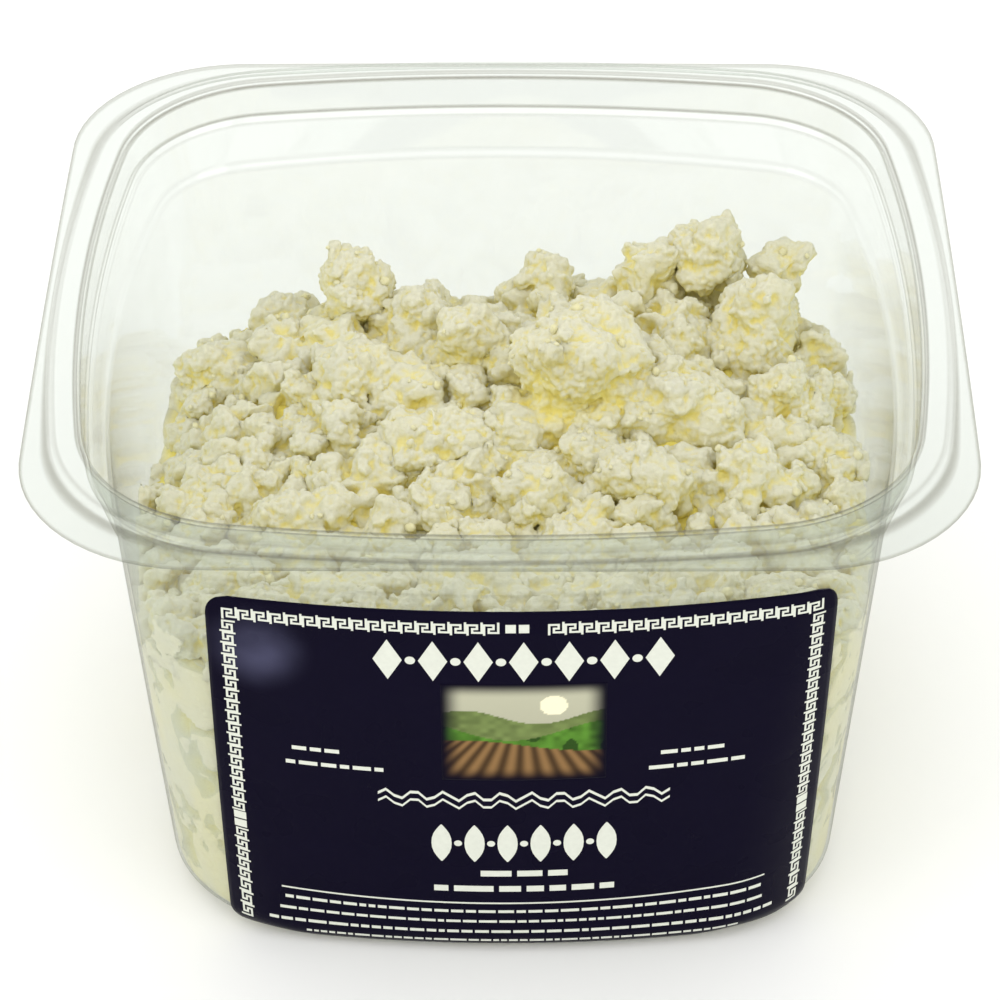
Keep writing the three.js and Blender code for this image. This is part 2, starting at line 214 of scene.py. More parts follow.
def soft_noise(points, size, salt):
    """Smooth noise from 0 to 1 with bumps about size apart."""
    scaled = points / size
    cell = np.floor(scaled)
    part = scaled - cell
    part = part * part * (3 - 2 * part)
    total = np.zeros(len(points))
    for corner in np.ndindex(2, 2, 2):
        share = np.prod(np.where(np.array(corner) == 1, part, 1 - part), axis=1)
        total += share * lattice_random(cell + corner, salt)
    return total


def grain_dome(points, size, salt):
    """Round grains about size across: 1 at a grain's middle, falling to 0 between grains."""
    scaled = points / size
    cell = np.floor(scaled)
    nearest = np.full(len(points), 9.0)
    for step in np.ndindex(3, 3, 3):
        near = cell + (np.array(step) - 1)
        seed = np.stack([lattice_random(near, salt + axis) for axis in range(3)], axis=1)
        nearest = np.minimum(nearest, np.sum((near + 0.15 + 0.7 * seed - scaled) ** 2, axis=1))
    return np.clip(1 - nearest / 0.6, 0, 1)


def bend_section(sheet_share, sheet):
    """The section with its bends rounded, moved out from the sheet's middle by a share of its
    thickness: rows of half width, radius of side, radius of corner, height and the darkness of
    the painted shade line along the bends."""
    stations = [np.array([half, 1 / bow, corner, z, 0]) for half, bow, corner, z, _, _ in STATIONS]
    rows = [stations[0]]
    for index in range(1, len(stations) - 1):
        here = stations[index]
        arms = []
        for other in (stations[index - 1], stations[index + 1]):
            span = np.hypot(other[0] - here[0], other[3] - here[3])
            arms.append(here + (other - here) * min(STATIONS[index][4], 0.48 * span) / span)
        span = np.hypot(*(arms[0] - rows[-1])[[0, 3]])
        straight = max(1, math.ceil(span / 6))
        rows += [rows[-1] + (arms[0] - rows[-1]) * step / straight for step in range(1, straight)]
        for share in np.linspace(0, 1, 7):
            bent = (1 - share) ** 2 * arms[0] + 2 * share * (1 - share) * here + share ** 2 * arms[1]
            # The line of painted shade is darkest in the middle of a bend.
            bent[4] = STATIONS[index][5] * math.sin(math.pi * share)
            rows.append(bent)
    edge = stations[-1]
    rows += [rows[-1] + (edge - rows[-1]) * share for share in (0.12, 0.92, 1)]
    rows = np.array(rows)
    along = np.gradient(rows[:, [0, 3]], axis=0)
    along /= np.linalg.norm(along, axis=1)[:, None]
    along[0] = (1, 0)
    away = sheet_share * sheet / MM
    moved = rows.copy()
    moved[:, 0] = rows[:, 0] + along[:, 1] * away
    moved[:, 1] = 1 / rows[:, 1] + along[:, 1] * away
    moved[:, 2] = rows[:, 2] + along[:, 1] * away
    moved[:, 3] = rows[:, 3] - along[:, 0] * away
    return moved


def arcs_of(half, bow, corner):
    """Where the arcs of an outline meet: the side's centre, the corner's, and the side's half angle."""
    reach = bow - half
    squares = reach ** 2 - (bow - corner) ** 2
    centre = (-reach + np.sqrt(reach ** 2 - 2 * squares)) / 2
    return reach, centre, np.arctan2(centre, centre + reach)


def outline(row, share):
    """Points of an outline at shares of the way round it, starting at the middle of the front."""
    half, bow, corner = row[..., 0], row[..., 1], row[..., 2]
    reach, centre, side_angle = arcs_of(half, bow, corner)
    quarter = np.floor(share * 4 + 0.5)
    within = share * 4 + 0.5 - quarter
    steps = within * 2 - 1
    flat = 0.66
    on_side = np.abs(steps) <= flat
    angle = side_angle * steps / flat
    side_x = bow * np.sin(angle)
    side_y = reach - bow * np.cos(angle)
    bent = (np.abs(steps) - flat) / (1 - flat)
    angle = side_angle + (math.pi / 4 - side_angle) * bent
    corner_x = np.sign(steps) * (centre + corner * np.sin(angle))
    corner_y = -centre - corner * np.cos(angle)
    x = np.where(on_side, side_x, corner_x)
    y = np.where(on_side, side_y, corner_y)
    turn = quarter * math.pi / 2
    return x * np.cos(turn) - y * np.sin(turn), x * np.sin(turn) + y * np.cos(turn)


def heap_rows(context):
    """The section that the cheese is pressed to."""
    sheet = context.scene.tub_settings.sheet
    return bend_section(context.scene.cheese_settings.pressed / sheet - 0.5, sheet)


def row_at(rows, z):
    """The outline of a section at heights from its foot to the top of its wall."""
    rising = rows[:, 3]
    last = int(np.argmax(rising > STATIONS[7][3]))
    return np.stack([np.interp(z, rising[:last], rows[:last, k]) for k in range(3)], axis=-1)


def past_wall(points, rows):
    """How far points in millimetres lie outside a section's outline, and the way out."""
    row = row_at(rows, points[:, 2])
    reach, centre, _ = arcs_of(row[:, 0], row[:, 1], row[:, 2])
    spot = np.abs(points[:, :2])
    swapped = spot[:, 1] > spot[:, 0]
    spot = np.where(swapped[:, None], spot[:, ::-1], spot)
    from_side = spot + np.stack([reach, 0 * reach], axis=1)
    from_corner = spot - centre[:, None]
    at_corner = (from_corner[:, 1] > 0) & (
        np.arctan2(from_corner[:, 1], from_corner[:, 0]) > np.arctan2(centre, centre + reach)
    )
    chosen = np.where(at_corner[:, None], from_corner, from_side)
    radius = np.where(at_corner, row[:, 2], row[:, 1])
    length = np.linalg.norm(chosen, axis=1)
    way = chosen / length[:, None]
    way = np.where(swapped[:, None], way[:, ::-1], way)
    return length - radius, way * np.where(points[:, :2] < 0, -1, 1)


def bent_grid(name, columns, rows, place, closed):
    """A mesh from a flat grid whose points are moved by place, which takes shares across and up."""
    shape = bmesh.new()
    bmesh.ops.create_grid(shape, x_segments=columns, y_segments=rows, size=0.5)
    mesh = bpy.data.meshes.new(name)
    shape.to_mesh(mesh)
    flat = read_points(mesh)
    write_points(mesh, place(flat[:, 0] + 0.5, flat[:, 1] + 0.5))
    shape.clear()
    shape.from_mesh(mesh)
    if closed:
        bmesh.ops.remove_doubles(shape, verts=shape.verts, dist=1e-7)
        bmesh.ops.holes_fill(shape, edges=[edge for edge in shape.edges if edge.is_boundary], sides=0)
        bmesh.ops.recalc_face_normals(shape, faces=shape.faces)
    shape.to_mesh(mesh)
    shape.free()
    return mesh


def mesh_from(shape, name):
    """A new mesh from a shape, which is freed."""
    mesh = bpy.data.meshes.new(name)
    shape.to_mesh(mesh)
    shape.free()
    return mesh


def read_points(mesh):
    points = np.empty(len(mesh.vertices) * 3)
    mesh.vertices.foreach_get("co", points)
    return points.reshape(-1, 3)


def write_points(mesh, points):
    mesh.vertices.foreach_set("co", np.asarray(points, np.float32).ravel())
    mesh.update()


def values_at(mesh, places, values):
    """The values of the nearest places, for each point of a mesh."""
    tree = KDTree(len(places))
    for index, spot in enumerate(places):
        tree.insert(spot, index)
    tree.balance()
    return np.array([values[tree.find(vertex.co)[1]] for vertex in mesh.vertices])


def write_attribute(mesh, name, values):
    attribute = mesh.attributes.new(name, "FLOAT", "POINT")
    attribute.data.foreach_set("value", values.astype(np.float32))


def neighbour_mean(points, ends):
    """The mean of each point's neighbours along the mesh's edges."""
    count = np.bincount(ends.ravel(), minlength=len(points))
    mean = np.empty_like(points)
    for axis in range(3):
        total = np.bincount(ends[:, 0], points[ends[:, 1], axis], len(points))
        total += np.bincount(ends[:, 1], points[ends[:, 0], axis], len(points))
        mean[:, axis] = total / np.maximum(count, 1)
    return mean


def edge_ends(mesh):
    ends = np.empty(len(mesh.edges) * 2, np.int32)
    mesh.edges.foreach_get("vertices", ends)
    return ends.reshape(-1, 2)


def point_normals(mesh):
    normals = np.empty(len(mesh.vertices) * 3, np.float32)
    mesh.vertex_normals.foreach_get("vector", normals)
    return normals.reshape(-1, 3).astype(float)


def show_piece(name, mesh, material, smooth=True):
    """Links a finished mesh as a piece that rides on the tub."""
    piece = bpy.data.objects.new(name, mesh)
    bpy.context.scene.collection.objects.link(piece)
    mesh.materials.clear()
    mesh.materials.append(material)
    mesh.polygons.foreach_set("use_smooth", np.full(len(mesh.polygons), smooth))
    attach(piece, "root")
    return piece


def add_node(tree, kind, values=None, **settings):
    """Adds a shader node, sets its options, and fills its inputs, or links them to an output or
    to the first output of a node."""
    node = tree.nodes.new("ShaderNode" + kind)
    for name, value in settings.items():
        setattr(node, name, value)
    for socket, value in (values or {}).items():
        if isinstance(value, bpy.types.Node):
            value = value.outputs[0]
        if isinstance(value, bpy.types.NodeSocket):
            tree.links.new(value, node.inputs[socket])
        else:
            node.inputs[socket].default_value = value
    return node


def made_material(name, build, *settings):
    """A new material with the surface that build makes in its node tree."""
    material = bpy.data.materials.new(name)
    material.use_nodes = True
    tree = material.node_tree
    tree.nodes.clear()
    surface = build(tree, *settings)
    add_node(tree, "OutputMaterial", {"Surface": surface})
    return material


def opaque(colour, share=1):
    """A colour at a share of its brightness, with its alpha."""
    return (*(share * part for part in colour), 1)


def thermoformed_pet(tree, settings):
    """Clear PET sheet, drawn into a mould: glossy, faintly green, and hazed here and there by whey
    that dried on it. It is darker where it is seen edge on, for its longer path through the
    sheet, and carries painted shade along its bends in place of their refraction."""
    facing = add_node(tree, "LayerWeight", {"Blend": 0.5}).outputs["Facing"]
    steep = add_node(tree, "Math", {0: facing, 1: 5.0}, operation="POWER")
    mirror = add_node(tree, "Math", {0: steep, 1: 0.4, 2: 0.045}, operation="MULTIPLY_ADD", use_clamp=True)
    grazing_tint_and_bend_shade = add_node(tree, "Math", {0: facing, 1: 12.0}, operation="POWER")
    # Painted shade: dark lines along the bends and the flange's edge, from the line attribute, in place of
    # the shade that refraction shows there.
    line = add_node(tree, "Attribute", attribute_name="line").outputs["Fac"]
    grazing_tint_and_bend_shade = add_node(tree, "Math", {0: grazing_tint_and_bend_shade, 1: line}, operation="MAXIMUM")
    tint = add_node(
        tree, "Mix", {"Factor": grazing_tint_and_bend_shade, "A": opaque(settings.tint), "B": opaque(settings.edge)},
        data_type="RGBA",
    )
    clear = add_node(tree, "BsdfTransparent", {"Color": tint.outputs["Result"]})
    gloss = add_node(tree, "BsdfGlossy", {"Color": (1, 1, 1, 1), "Roughness": 0.06})
    sheet = add_node(tree, "MixShader", {0: mirror, 1: clear, 2: gloss})
    place = add_node(tree, "TexCoord").outputs["Object"]
    # Whey dries in streaks about 12 mm across.
    streak = add_node(tree, "TexNoise", {"Vector": place, "Scale": 1 / (12 * MM), "Detail": 5.0})
    haze = add_node(
        tree, "MapRange",
        {"Value": streak, "From Min": 0.5, "From Max": 0.75, "To Min": 0.008, "To Max": 0.05},
    )
    milk = add_node(tree, "BsdfDiffuse", {"Color": (0.86, 0.88, 0.8, 1)})
    return add_node(tree, "MixShader", {0: haze, 1: sheet, 2: milk})


def brined_curd(tree, settings):
    """Brined white curd, crumbled: soft light through its grains, moist, with painted yellow shade
    in its crevices and on its undersides.
    """
    hollow = add_node(tree, "Attribute", attribute_name="hollow").outputs["Fac"]
    place = add_node(tree, "TexCoord").outputs["Object"]
    # Patches of drier and moister curd are about 7 mm across.
    patch = add_node(tree, "TexNoise", {"Vector": place, "Scale": 1 / (7 * MM), "Detail": 3.0})
    # The painted shade of crevices and undersides, with a little of the patches' own tone, mixes in the
    # yellow crevice colour.
    depth = add_node(
        tree, "Math", {0: patch, 1: 0.16, 2: hollow}, operation="MULTIPLY_ADD", use_clamp=True
    )
    colour = add_node(
        tree, "Mix", {"Factor": depth, "A": opaque(settings.cream), "B": opaque(settings.shade)},
        data_type="RGBA",
    )
    # Grains about 1 mm across carry finer ones of about 0.5 mm.
    grit = add_node(tree, "TexNoise", {"Vector": place, "Scale": 1 / (0.5 * MM), "Detail": 3.0})
    grain = add_node(tree, "TexVoronoi", {"Vector": place, "Scale": 1 / (1.0 * MM)})
    height = add_node(
        tree, "Math", {0: grain.outputs["Distance"], 1: -0.9, 2: grit}, operation="MULTIPLY_ADD"
    )
    bump = add_node(tree, "Bump", {"Height": height, "Strength": 0.6, "Distance": 0.25 * MM})
    rough = add_node(
        tree, "MapRange", {"Value": patch, "From Min": 0.3, "From Max": 0.7, "To Min": 0.5, "To Max": 0.72}
    )
    return add_node(
        tree, "BsdfPrincipled",
        {
            "Base Color": colour.outputs["Result"], "Roughness": rough,
            "Normal": bump, "IOR": 1.42, "Specular IOR Level": 0.12,
            "Subsurface Weight": 0.35, "Subsurface Radius": (1.0, 0.95, 0.7), "Subsurface Scale": 1.6 * MM,
        },
    )


# The varnish mirrors little of the pale room.
VARNISH_SHINE = 0.035


def coated_paper(tree, settings):
    """Coated label paper, printed dark navy and varnished: smooth and glossy, a little uneven."""
    place = add_node(tree, "TexCoord").outputs["Object"]
    # The paper lies in waves about 9 mm long.
    wave = add_node(tree, "TexNoise", {"Vector": place, "Scale": 1 / (9 * MM), "Detail": 2.0})
    bump = add_node(tree, "Bump", {"Height": wave, "Strength": 0.25, "Distance": 0.6 * MM})
    rough = add_node(tree, "MapRange", {"Value": wave, "To Min": 0.22, "To Max": 0.34})
    shade = add_node(
        tree, "Mix", {"Factor": wave, "A": opaque(settings.navy), "B": opaque(settings.navy, 1.35)},
        data_type="RGBA",
    )
    # The varnish carries a painted reflection of a softbox, a pale bluish patch over about 9 mm
    # near the upper left corner, broken up by the paper's waves.
    spot = add_node(tree, "VectorMath", {0: place, 1: (-35 * MM, -56 * MM, 61 * MM)}, operation="DISTANCE")
    painted_reflection = add_node(
        tree, "MapRange",
        {"Value": spot.outputs["Value"], "From Min": 9 * MM, "From Max": 1 * MM, "To Max": 1.3},
        interpolation_type="SMOOTHSTEP",
    )
    painted_reflection = add_node(tree, "Math", {0: painted_reflection, 1: wave}, operation="MULTIPLY")
    worn = add_node(
        tree, "Mix", {"Factor": painted_reflection, "A": shade.outputs["Result"], "B": opaque(settings.painted_reflection)},
        data_type="RGBA",
    )
    return add_node(
        tree, "BsdfPrincipled",
        {
            "Base Color": worn.outputs["Result"], "Roughness": rough, "Normal": bump,
            "Specular IOR Level": VARNISH_SHINE,
        },
    )


def offset_ink(tree, settings):
    """Pale offset ink under varnish: almost white, with a faint mottle."""
    place = add_node(tree, "TexCoord").outputs["Object"]
    # Ink mottles over about 0.8 mm.
    mottle = add_node(tree, "TexNoise", {"Vector": place, "Scale": 1 / (0.8 * MM), "Detail": 2.0})
    shade = add_node(
        tree, "Mix", {"Factor": mottle, "A": opaque(settings.pale), "B": opaque(settings.pale, 0.86)},
        data_type="RGBA",
    )
    return add_node(tree, "BsdfPrincipled", {"Base Color": shade.outputs["Result"], "Roughness": 0.35})


def picture_ink(tree):
    """A halftone picture under varnish, coloured by the piece's own attribute."""
    picture = add_node(tree, "Attribute", attribute_name="picture")
    return add_node(
        tree, "BsdfPrincipled",
        {"Base Color": picture.outputs["Color"], "Roughness": 0.28, "Specular IOR Level": VARNISH_SHINE},
    )


def matt_floor(tree, settings):
    """A pale matt floor of painted board, barely uneven."""
    place = add_node(tree, "TexCoord").outputs["Object"]
    grain = add_node(tree, "TexNoise", {"Vector": place, "Scale": 1 / (60 * MM), "Detail": 4.0})
    shade = add_node(
        tree, "Mix",
        {"Factor": grain, "A": opaque(settings.floor_colour), "B": opaque(settings.floor_colour, 0.985)},
        data_type="RGBA",
    )
    return add_node(
        tree, "BsdfPrincipled",
        {"Base Color": shade.outputs["Result"], "Roughness": 0.9, "Specular IOR Level": 0.1},
    )


class MakeTubShell(bpy.types.Operator):
    """Makes the clear tub as one sheet with both of its faces"""

    bl_idname = "mesh.make_tub_shell"
    bl_label = "Clear tub"

    def execute(self, context):
        settings = context.scene.tub_settings
        outer = bend_section(0.5, settings.sheet)
        inner = bend_section(-0.5, settings.sheet)
        edge = (outer[-1] + inner[-1]) / 2
        out = np.array([1, 1, 1, 0, 0]) * settings.sheet / MM / 2
        # The flange's rounded edge carries a line of painted shade too.
        outer[-1, 4] = inner[-1, 4] = 0.5 * STATIONS[-1][5]
        rounded = np.array([
            edge + (outer[-1] - edge) * math.cos(turn) + out * math.sin(turn)
            for turn in np.linspace(0, math.pi, 7)[1:-1]
        ])
        rounded[:, 4] = STATIONS[-1][5]
        rows = np.vstack([outer, rounded, inner[::-1]])
        lines = []
        base_steps = 8
        count = len(rows) + 2 * base_steps
        columns = 8 * (settings.side_steps + settings.corner_steps) // 2

        def place(across, up):
            level = np.rint(up * (count - 1)).astype(int)
            row = np.clip(level - base_steps, 0, len(rows) - 1)
            x, y = outline(rows[row], across)
            off_end = np.maximum(base_steps - level, level - base_steps - len(rows) + 1)
            shrink = np.where(off_end > 0, 1 - 0.97 * off_end / base_steps, 1)
            points = np.stack([x * shrink, y * shrink, rows[row, 3]], axis=1) * MM
            lines.append((points, rows[row, 4]))
            return points

        mesh = bent_grid("tub_shell", columns, count - 1, place, True)
        # The line attribute carries the painted shade along the bends.
        write_attribute(mesh, "line", values_at(mesh, *lines[0]))
        material = made_material("thermoformed_clear_pet", thermoformed_pet, settings)
        piece = show_piece("tub_shell", mesh, material)
        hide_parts("tub")
        return {"FINISHED"}


def heap_level(x, y, level):
    """Height of the heap's surface in millimetres over points of the tub."""
    height = level / MM + np.zeros_like(np.asarray(x, float))
    height += FRONT_SLOPE["rise"] * smooth_step(FRONT_SLOPE["from"], FRONT_SLOPE["to"], -y)
    height += LEFT_SLOPE["rise"] * smooth_step(LEFT_SLOPE["from"], LEFT_SLOPE["to"], -x)
    height += BACK_SLOPE["rise"] * smooth_step(BACK_SLOPE["from"], BACK_SLOPE["to"], y)
    for mound_x, mound_y, rise, spread in MOUNDS:
        away = (x - mound_x) ** 2 + (y - mound_y) ** 2
        height += rise * np.exp(-away / (2 * spread ** 2))
    return height


class MakeHeapCore(bpy.types.Operator):
    """Makes the body of the heap, pressed against the wall with small air pockets"""

    bl_idname = "mesh.make_heap_core"
    bl_label = "Heap core"

    def execute(self, context):
        settings = context.scene.cheese_settings
        rows = heap_rows(context)
        wall_steps, top_steps, base_steps = 74, 30, 10
        count = base_steps + wall_steps + top_steps
        low = rows[0, 3] + 0.02

        def place(across, up):
            level = np.rint(up * count)
            x, y = outline(row_at(rows, np.full(len(across), 45.0)), across)
            contact = heap_level(x, y, settings.level) - settings.sink / MM
            ripple = soft_noise(np.stack([x, y, 0 * x], axis=1), 9.0, 5) - 0.5
            contact += 5 * ripple
            share = np.clip((level - base_steps) / wall_steps, 0, 1)
            z = low + (contact - low) * share
            x, y = outline(row_at(rows, z), across)
            inward = np.clip((level - base_steps - wall_steps) / top_steps, 0, 1)
            spread = 1 - (1 - 0.02) * inward ** 0.9
            under = np.clip((base_steps - level) / base_steps, 0, 1)
            spread = np.where(level < base_steps, 1 - 0.98 * under, spread)
            points = np.stack([x * spread, y * spread, z], axis=1)
            on_wall = (level >= base_steps) & (inward == 0)
            # Crumbs lie flat on the wall, with gaps between the large ones and the small ones.
            twisted = points + 2.4 * (soft_noise(points, 2.6, 11) - 0.5)[:, None]
            dent = 1.7 * smooth_step(0.42, 0.0, grain_dome(twisted, 8.0, 12))
            dent *= smooth_step(0.25, 0.6, soft_noise(points, 14.0, 13))
            small = smooth_step(0.4, 0.0, grain_dome(twisted, 3.2, 14))
            dent += 0.8 * small * smooth_step(0.35, 0.65, soft_noise(points, 9.0, 15))
            fade = smooth_step(2, 7, z)
            _, way = past_wall(points, rows)
            points[:, :2] -= way * (dent * fade * on_wall)[:, None]
            top = heap_level(points[:, 0], points[:, 1], settings.level) - settings.sink / MM
            bumps = 1.6 * grain_dome(points, 5.5, 21) + 1.0 * grain_dome(points, 2.4, 22) - 1.2
            blend = smooth_step(0, 0.12, inward)
            height = top + bumps
            points[:, 2] = np.where(inward > 0, points[:, 2] * (1 - blend) + height * blend, points[:, 2])
            return points * MM

        columns = 560
        mesh = bent_grid("heap_core", columns, count, place, True)
        points = read_points(mesh) / MM
        away, _ = past_wall(points, rows)
        # Painted shade: the yellow crevice colour goes on the core's top under the lumps, in its air
        # pockets off the wall, and less on its hidden inside; the streaks down the wall are the curd's own
        # tone.
        top = points[:, 2] > heap_level(points[:, 0], points[:, 1], settings.level) - 4.5
        inner = np.where(top, 0.7, 0.3) * smooth_step(0.9, 2.4, -away)
        streaks = 0.11 * smooth_step(0.45, 0.75, soft_noise(points * (1, 1, 0.5), 6.0, 16))
        gaps = 0.28 * smooth_step(0.05, 1.2, -away)
        write_attribute(mesh, "hollow", np.clip(inner + streaks + gaps, 0, 0.7))
        material = made_material("brined_curd_pressed", brined_curd, settings)
        piece = show_piece("heap_core", mesh, material)
        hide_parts("crumbled_cheese")
        return {"FINISHED"}


def scatter_crumbs(draw, settings):
    """Crumbs between the lumps, as lump settings on a staggered grid with a shift."""
    crumbs = []
    pitch, reach = 5.4, 56
    rows = int(reach / (pitch * 0.87))
    for row in range(-rows, rows + 1):
        across = -reach
        while across <= reach:
            x = across + (row % 2) * pitch / 2 + draw.uniform(-1.9, 1.9)
            y = row * pitch * 0.87 + draw.uniform(-1.9, 1.9)
            broad = 3.8 + 6.0 * draw.random() ** 1.5
            crumbs.append((x, y, broad, broad * draw.uniform(0.8, 1.1), draw.uniform(-1.0, 1.4)))
            across += pitch
    return crumbs


def bed_grains(draw, knob, front, back, settings, rows):
    """Grains that cover the core between two depths of the heap, under the crumbs."""
    grains = []
    pitch = 2.5
    for step in range(int((back - front) / pitch)):
        for place in range(int(116 / pitch)):
            x = -58 + (place + draw.random()) * pitch
            y = front + (step + draw.random()) * pitch
            radius = draw.uniform(1.3, 2.4)
            z = float(heap_level(x, y, settings.level)) - settings.sink / MM + draw.uniform(-1.0, 0.5)
            if past_wall(np.array([[x, y, z]]), rows)[0][0] < -0.4:
                grains.append(knob * [radius * draw.uniform(0.75, 1) for _ in range(3)] + (x, y, z))
    return grains


def ball(detail):
    """Points and faces of a round ball with a radius of 1."""
    shape = bmesh.new()
    bmesh.ops.create_icosphere(shape, subdivisions=detail, radius=1)
    points = np.array([vertex.co for vertex in shape.verts])
    faces = np.array([[vertex.index for vertex in face.verts] for face in shape.faces])
    shape.free()
    return points, faces


def joined_copies(name, faces, copies):
    """One mesh of many copies of a shape, from the points of each copy."""
    count = len(copies[0])
    joined = np.concatenate([faces + count * index for index in range(len(copies))])
    mesh = bpy.data.meshes.new(name)
    mesh.from_pydata(np.concatenate(copies), [], joined)
    return mesh


def random_ways(draw, count):
    """Evenly random directions."""
    ways = np.array([[draw.gauss(0, 1) for _ in range(3)] for _ in range(count)])
    return ways / np.linalg.norm(ways, axis=1)[:, None]


def broken_body(draw, body):
    """A ball made uneven by waves, with a few flat faces where it broke."""
    ways = random_ways(draw, 5)
    waves = sum(np.sin(body @ (way * draw.uniform(1.5, 4.5)) + draw.uniform(0, math.tau)) for way in ways)
    uneven = body * (1 + 0.08 * waves)[:, None]
    for way in random_ways(draw, 3):
        past = np.maximum(uneven @ way - draw.uniform(0.55, 0.85), 0)
        uneven -= 0.85 * past[:, None] * way
    return uneven


def lump_shapes(draw, centre, broad, tall, body, knob):
    """The points of one crumb: a few bodies broken off together, and small knobs of curd on them."""
    size = np.array([broad, broad * draw.uniform(0.85, 1), tall]) / 2
    bodies, knobs = [], []
    for step in range(int(3 + broad / 4)):
        share = draw.uniform(0.4, 0.62) if step else 0.76
        middle = centre + random_ways(draw, 1)[0] * size * (1 - share) * 0.95
        bodies.append(middle + broken_body(draw, body) * size * share)
        for way in random_ways(draw, int(4 + broad * share * 1.2)):
            radius = draw.uniform(0.6, 1.6)
            spot = middle + way * size * share * draw.uniform(0.8, 1.0)
            knobs.append(spot + knob * [radius * draw.uniform(0.75, 1) for _ in range(3)])
    return bodies, knobs


def fused(mesh, voxel):
    """A mesh of overlapping solids made one skin, in cells of the given size."""
    holder = bpy.data.objects.new("fusing", mesh)
    bpy.context.scene.collection.objects.link(holder)
    remesh = holder.modifiers.new("Remesh", "REMESH")
    remesh.mode = "VOXEL"
    remesh.voxel_size = voxel
    skin = bpy.data.meshes.new_from_object(holder.evaluated_get(bpy.context.evaluated_depsgraph_get()))
    bpy.data.objects.remove(holder)
    return skin


def grain_surface(mesh, settings, rows):
    """Twists a skin out of its round shapes, presses grains of curd into it and flattens it on
    the wall."""
    points = read_points(mesh) / MM
    ends = edge_ends(mesh)
    for size, reach, salt in ((4.5, 2.1, 61), (2.0, 1.2, 65)):
        shift = np.stack([soft_noise(points, size, salt + axis) for axis in range(3)], axis=1)
        points += reach * (shift - 0.5)
    for _ in range(2):
        points = neighbour_mean(points, ends)
    write_points(mesh, points * MM)
    normals = point_normals(mesh)
    patch = smooth_step(0.25, 0.65, soft_noise(points, 7.0, 39))
    lift = 0.35 * grain_dome(points, settings.curd / MM, 31)
    lift += 0.6 * grain_dome(points, settings.grit / MM, 35)
    lift = lift * (0.45 + 0.55 * patch) - 0.3
    for size, share in ((1.3, 0.5), (0.75, 0.55)):
        lift += share * (soft_noise(points, size, 41) - 0.5)
    points += normals * lift[:, None]
    past, way = past_wall(points, rows)
    points[:, :2] -= way * np.maximum(past, 0)[:, None]
    write_points(mesh, points * MM)


def softened_top(clouds, settings):
    """Height of the heap's lumps over a grid of cells half a millimetre wide, softened over
    about 3 mm, as a function that looks it up at points."""
    side, cell = 240, 0.5
    spots = (np.arange(side) + 0.5 - side / 2) * cell
    heights = heap_level(*np.meshgrid(spots, spots), settings.level) - 3
    for points in clouds:
        place = np.clip((points[:, :2] / cell + side / 2).astype(int), 0, side - 1)
        np.maximum.at(heights, (place[:, 1], place[:, 0]), points[:, 2])
    soft_rounds = 26
    for _ in range(soft_rounds):
        wide = np.pad(heights, 1, mode="edge")
        across = wide[1:-1, :-2] + wide[1:-1, 2:]
        heights = (wide[1:-1, 1:-1] + across + wide[:-2, 1:-1] + wide[2:, 1:-1]) / 5

    def look_up(points):
        place = np.clip((points[:, :2] / cell + side / 2).astype(int), 0, side - 1)
        return heights[place[:, 1], place[:, 0]]

    return look_up


def paint_crevice_shade(mesh, top, rows):
    """Paints shade: notes how deep each point lies between the lumps and between its own grains,
    and how far it faces down, as a share of the yellow crevice colour.
    """
    points = read_points(mesh) / MM
    normals = point_normals(mesh)
    ends = edge_ends(mesh)
    smooth = points
    fine_rounds = 12
    for _ in range(fine_rounds):
        smooth = neighbour_mean(smooth, ends)
    # Painted shade: yellow in concave crevices, below the softened top between the lumps, and on faces
    # turned down.
    hollow = 0.45 * smooth_step(-0.1, 0.4, np.sum((smooth - points) * normals, axis=1))
    hollow += 0.2 * smooth_step(0.6, 5.2, top(points) - points[:, 2])
    hollow += 0.4 * smooth_step(0.7, -0.8, normals[:, 2])
    away, _ = past_wall(points, rows)
    write_attribute(mesh, "hollow", np.clip(hollow, 0, 0.58) * smooth_step(0, 2, -away))


class MakeLumps(bpy.types.Operator):
    """Makes the crumbs that show, fused in bands from the back of the tub to its front"""

    bl_idname = "mesh.make_lumps"
    bl_label = "Crumbled lumps"

    def execute(self, context):
        settings = context.scene.cheese_settings
        rows = heap_rows(context)
        draw = random.Random(20)
        material = made_material("brined_curd_crumbled", brined_curd, settings)
        places = list(LUMPS) + scatter_crumbs(draw, settings)
        body, body_faces = ball(3)
        knob, knob_faces = ball(2)
        skins = []
        for name, front, back in BANDS:
            bodies, knobs = [], bed_grains(draw, knob, front, back, settings, rows)
            for x, y, broad, tall, above in places:
                spot = np.array([x, y, float(heap_level(x, y, settings.level)) + above])
                past, _ = past_wall(spot[None, :], rows)
                if front <= y < back and past[0] < -0.2 * broad:
                    shaped, pressed = lump_shapes(draw, spot, broad, tall, body, knob)
                    bodies += shaped
                    knobs += pressed
            shape = bmesh.new()
            shape.from_mesh(joined_copies("bodies", body_faces, bodies))
            shape.from_mesh(joined_copies("knobs", knob_faces, knobs))
            mesh = mesh_from(shape, name)
            points = read_points(mesh)
            floor = heap_level(points[:, 0], points[:, 1], settings.level) - settings.sink / MM - 1.5
            points[:, 2] = np.maximum(points[:, 2], floor)
            write_points(mesh, points * MM)
            skin = fused(mesh, settings.voxel)
            bpy.data.meshes.remove(mesh)
            skin.name = name
            grain_surface(skin, settings, rows)
            skins.append(skin)
        top = softened_top([read_points(skin) / MM for skin in skins], settings)
        for skin in skins:
            paint_crevice_shade(skin, top, rows)
            show_piece(skin.name, skin, material)
        return {"FINISHED"}


